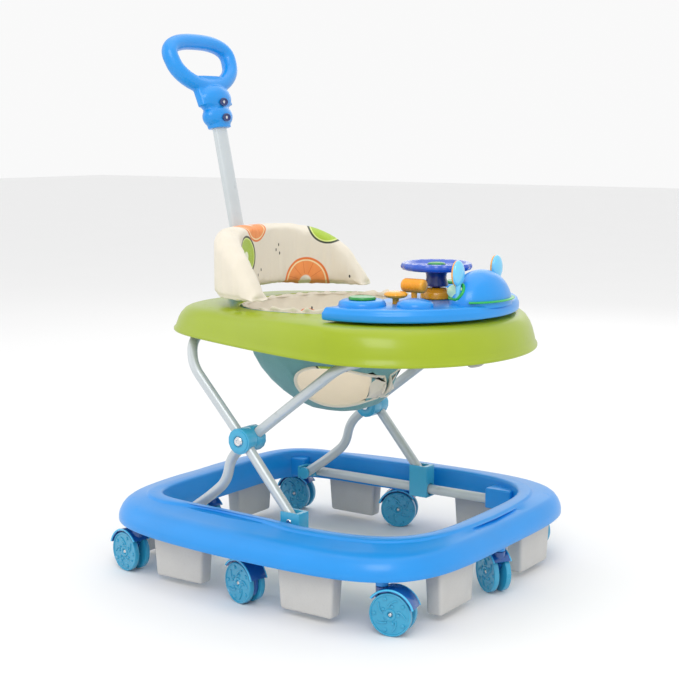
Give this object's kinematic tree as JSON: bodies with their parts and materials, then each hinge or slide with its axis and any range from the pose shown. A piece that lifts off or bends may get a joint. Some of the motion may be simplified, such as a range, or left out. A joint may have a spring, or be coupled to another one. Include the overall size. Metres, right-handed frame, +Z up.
{
  "type": "baby walker",
  "caption": "Folding baby walker: wheeled base ring, crossed tube legs, tray ring with fabric seat and padded back, toy play tray and a push handle.",
  "frame": {"origin": "on the floor, below the middle of the bounding box", "axes": "+X forward, the way the child faces; +Y to the child's left; +Z up"},
  "size_m": [0.6356, 0.583, 0.8479],
  "materials": {
    "sky_blue": "glossy",
    "cyan": "glossy",
    "deep_blue": "glossy",
    "royal_blue": "glossy",
    "lime": "glossy",
    "pad_grey": "matt",
    "yellow": "glossy",
    "green": "glossy",
    "mirror_blue": "glossy",
    "painted_tube": "satin",
    "screw_steel": "polished",
    "canvas": "woven print"
  },
  "bodies": {
    "base": {"base_shell": "sky_blue", "brake_pad_side_rear_right": "pad_grey", "brake_pad_side_rear_left": "pad_grey", "brake_pad_side_front_right": "pad_grey", "brake_pad_side_front_left": "pad_grey", "brake_pad_front_right": "pad_grey", "brake_pad_front_left": "pad_grey", "brake_pad_rear_right": "pad_grey", "brake_pad_rear_left": "pad_grey", "base_rail_right": "painted_tube", "base_rail_left": "painted_tube", "rear_foot_clamp_right": "cyan", "rear_foot_clamp_left": "cyan"},
    "rear_leg": {"rear_leg_tube": "painted_tube", "cross_cover_inner_right": "cyan", "cross_cover_inner_left": "cyan"},
    "front_leg": {"front_leg_tube": "painted_tube", "cross_cover_outer_right": "cyan", "cross_cover_outer_left": "cyan", "pivot_screw_right": "screw_steel", "pivot_screw_left": "screw_steel"},
    "foot_slider": {"slider_bracket_right": "cyan", "slider_bracket_left": "cyan"},
    "tray": {"tray_shell": "lime", "tray_hinge_right": "pad_grey", "tray_hinge_left": "pad_grey", "height_rack": "pad_grey", "seat_fabric": "canvas", "backrest_pad": "canvas", "handle_socket": "sky_blue"},
    "push_handle": {"push_tube": "painted_tube", "handle_grip": "sky_blue"},
    "release_button": {"handle_release_button": "yellow"},
    "play_tray": {"play_tray": "sky_blue", "steering_base": "yellow"},
    "steering_wheel": {"steering_wheel": "royal_blue"},
    "horn_badge": {"wheel_badge": "green"},
    "drum_lever": {"drum_lever": "yellow"},
    "turn_knob": {"turn_knob": "yellow"},
    "round_button_right": {"round_button_right": "green"},
    "mirror_right": {"wing_mirror_right": "mirror_blue"},
    "round_button_left": {"round_button_left": "green"},
    "mirror_left": {"wing_mirror_left": "mirror_blue"},
    "caster_rear_right": {"caster_fork_rear_right": "deep_blue"},
    "wheel_rear_right": {"caster_wheel_rear_right": "cyan"},
    "caster_rear_left": {"caster_fork_rear_left": "deep_blue"},
    "wheel_rear_left": {"caster_wheel_rear_left": "cyan"},
    "caster_side_right": {"caster_fork_side_right": "deep_blue"},
    "wheel_side_right": {"caster_wheel_side_right": "cyan"},
    "caster_side_left": {"caster_fork_side_left": "deep_blue"},
    "wheel_side_left": {"caster_wheel_side_left": "cyan"},
    "caster_front_right": {"caster_fork_front_right": "deep_blue"},
    "wheel_front_right": {"caster_wheel_front_right": "cyan"},
    "caster_front_left": {"caster_fork_front_left": "deep_blue"},
    "wheel_front_left": {"caster_wheel_front_left": "cyan"},
    "caster_nose": {"caster_fork_nose": "deep_blue"},
    "wheel_nose": {"caster_wheel_nose": "cyan"},
    "caster_tail": {"caster_fork_tail": "deep_blue"},
    "wheel_tail": {"caster_wheel_tail": "cyan"}
  },
  "joints": [
    {"name": "fold", "type": "hinge", "parent": "base", "child": "rear_leg", "pos_m": [-0.17823, 0, 0.09], "axis": [0, 1, 0], "range_deg": [0, 32]},
    {"name": "leg_cross", "type": "hinge", "parent": "rear_leg", "child": "front_leg", "pos_m": [-0.04723, 0, 0.226], "axis": [0, 1, 0], "range_deg": [-83, 0]},
    {"name": "tray_level", "type": "hinge", "parent": "front_leg", "child": "tray", "pos_m": [-0.16723, 0, 0.378], "axis": [0, 1, 0], "range_deg": [0, 47]},
    {"name": "foot_level", "type": "hinge", "parent": "front_leg", "child": "foot_slider", "pos_m": [0.04677, 0, 0.116], "axis": [0, 1, 0], "range_deg": [0, 47]},
    {"name": "handle_lift", "type": "slide", "parent": "tray", "child": "push_handle", "axis": [0, 0, 1], "range_m": [0, 0.045]},
    {"name": "release_press", "type": "slide", "parent": "tray", "child": "release_button", "axis": [1, 0, 0], "range_m": [0, 0.002], "stiffness_N_per_m": 600},
    {"name": "play_tray_lift", "type": "slide", "parent": "tray", "child": "play_tray", "axis": [0, 0, 1], "range_m": [0, 0.06]},
    {"name": "steering_spin", "type": "hinge", "parent": "play_tray", "child": "steering_wheel", "pos_m": [0.18077, 0, 0.489], "axis": [0, 0, 1], "continuous": true},
    {"name": "horn_press", "type": "slide", "parent": "steering_wheel", "child": "horn_badge", "axis": [0, 0, -1], "range_m": [0, 0.002], "stiffness_N_per_m": 600},
    {"name": "drum_swing", "type": "hinge", "parent": "play_tray", "child": "drum_lever", "pos_m": [0.17677, -0.057, 0.464], "axis": [0, 0, 1], "range_deg": [-20, 20]},
    {"name": "knob_turn", "type": "hinge", "parent": "play_tray", "child": "turn_knob", "pos_m": [0.16677, -0.092, 0.455], "axis": [0, 0, 1], "continuous": true},
    {"name": "button_press_right", "type": "slide", "parent": "play_tray", "child": "round_button_right", "axis": [0, 0, -1], "range_m": [0, 0.003], "stiffness_N_per_m": 600},
    {"name": "mirror_turn_right", "type": "hinge", "parent": "play_tray", "child": "mirror_right", "pos_m": [0.25177, -0.058, 0.486], "axis": [0, 0, 1], "range_deg": [-25, 25]},
    {"name": "button_press_left", "type": "slide", "parent": "play_tray", "child": "round_button_left", "axis": [0, 0, -1], "range_m": [0, 0.003], "stiffness_N_per_m": 600},
    {"name": "mirror_turn_left", "type": "hinge", "parent": "play_tray", "child": "mirror_left", "pos_m": [0.25177, 0.058, 0.486], "axis": [0, 0, 1], "range_deg": [-25, 25]},
    {"name": "swivel_rear_right", "type": "hinge", "parent": "base", "child": "caster_rear_right", "pos_m": [-0.22823, -0.226, 0.06], "axis": [0, 0, 1], "continuous": true},
    {"name": "roll_rear_right", "type": "hinge", "parent": "caster_rear_right", "child": "wheel_rear_right", "pos_m": [-0.24486, -0.22247, 0.031], "axis": [0.2079, 0.9781, 0], "continuous": true},
    {"name": "swivel_rear_left", "type": "hinge", "parent": "base", "child": "caster_rear_left", "pos_m": [-0.22823, 0.226, 0.06], "axis": [0, 0, 1], "continuous": true},
    {"name": "roll_rear_left", "type": "hinge", "parent": "caster_rear_left", "child": "wheel_rear_left", "pos_m": [-0.24517, 0.22452, 0.031], "axis": [-0.0872, 0.9962, 0], "continuous": true},
    {"name": "swivel_side_right", "type": "hinge", "parent": "base", "child": "caster_side_right", "pos_m": [-0.01323, -0.241, 0.06], "axis": [0, 0, 1], "continuous": true},
    {"name": "roll_side_right", "type": "hinge", "parent": "caster_side_right", "child": "wheel_side_right", "pos_m": [0.00319, -0.2454, 0.031], "axis": [-0.2588, -0.9659, 0], "continuous": true},
    {"name": "swivel_side_left", "type": "hinge", "parent": "base", "child": "caster_side_left", "pos_m": [-0.01323, 0.241, 0.06], "axis": [0, 0, 1], "continuous": true},
    {"name": "roll_side_left", "type": "hinge", "parent": "caster_side_left", "child": "wheel_side_left", "pos_m": [-0.02921, 0.23519, 0.031], "axis": [-0.342, 0.9397, 0], "continuous": true},
    {"name": "swivel_front_right", "type": "hinge", "parent": "base", "child": "caster_front_right", "pos_m": [0.24077, -0.24, 0.06], "axis": [0, 0, 1], "continuous": true},
    {"name": "roll_front_right", "type": "hinge", "parent": "caster_front_right", "child": "wheel_front_right", "pos_m": [0.25745, -0.23676, 0.031], "axis": [0.1908, -0.9816, 0], "continuous": true},
    {"name": "swivel_front_left", "type": "hinge", "parent": "base", "child": "caster_front_left", "pos_m": [0.24077, 0.24, 0.06], "axis": [0, 0, 1], "continuous": true},
    {"name": "roll_front_left", "type": "hinge", "parent": "caster_front_left", "child": "wheel_front_left", "pos_m": [0.22393, 0.24237, 0.031], "axis": [0.1392, 0.9903, 0], "continuous": true},
    {"name": "swivel_nose", "type": "hinge", "parent": "base", "child": "caster_nose", "pos_m": [0.29577, -0.002, 0.06], "axis": [0, 0, 1], "continuous": true},
    {"name": "roll_nose", "type": "hinge", "parent": "caster_nose", "child": "wheel_nose", "pos_m": [0.28151, 0.00726, 0.031], "axis": [0.5446, 0.8387, 0], "continuous": true},
    {"name": "swivel_tail", "type": "hinge", "parent": "base", "child": "caster_tail", "pos_m": [-0.26423, 0, 0.06], "axis": [0, 0, 1], "continuous": true},
    {"name": "roll_tail", "type": "hinge", "parent": "caster_tail", "child": "wheel_tail", "pos_m": [-0.28098, 0.00295, 0.031], "axis": [0.1736, 0.9848, 0], "continuous": true}
  ],
  "couplings": [
    {"joint": "leg_cross", "follows": "fold", "ratio": -2.3},
    {"joint": "tray_level", "follows": "fold", "ratio": 1.3},
    {"joint": "foot_level", "follows": "fold", "ratio": 1.3}
  ]
}
